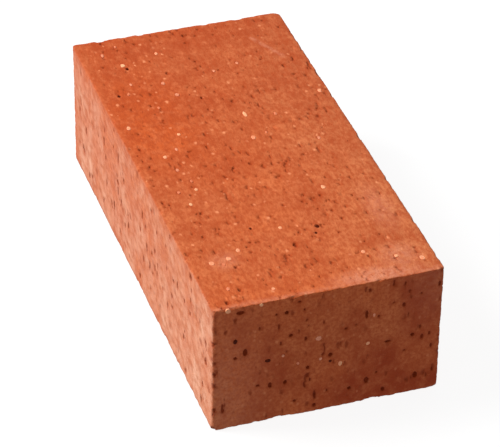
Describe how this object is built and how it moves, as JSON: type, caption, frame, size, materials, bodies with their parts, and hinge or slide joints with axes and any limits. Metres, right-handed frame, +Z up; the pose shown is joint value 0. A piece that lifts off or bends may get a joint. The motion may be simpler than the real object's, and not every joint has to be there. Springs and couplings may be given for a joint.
{
  "type": "clay brick",
  "caption": "Solid rectangular fired-clay building brick, wire-cut, with small arris chips, open pits and hard grains bonded flush in its faces.",
  "frame": {"origin": "centre of the bottom bed, on the surface that the brick stands on", "axes": "+X along the length, +Y across the width, +Z up through the height"},
  "size_m": [0.194, 0.092, 0.057],
  "materials": {
    "fired_clay": "matt unglazed red clay, slightly rough",
    "quartz": "hard cream and pale pink mineral, faintly glassy",
    "grog": "matt buff to orange crushed fired clay",
    "ironstone": "dark burnt mineral, semi-matt"
  },
  "bodies": {
    "root": {"clay_body": "fired_clay", "quartz_grains": "quartz", "grog_grains": "grog", "ironstone_grains": "ironstone"}
  },
  "joints": []
}
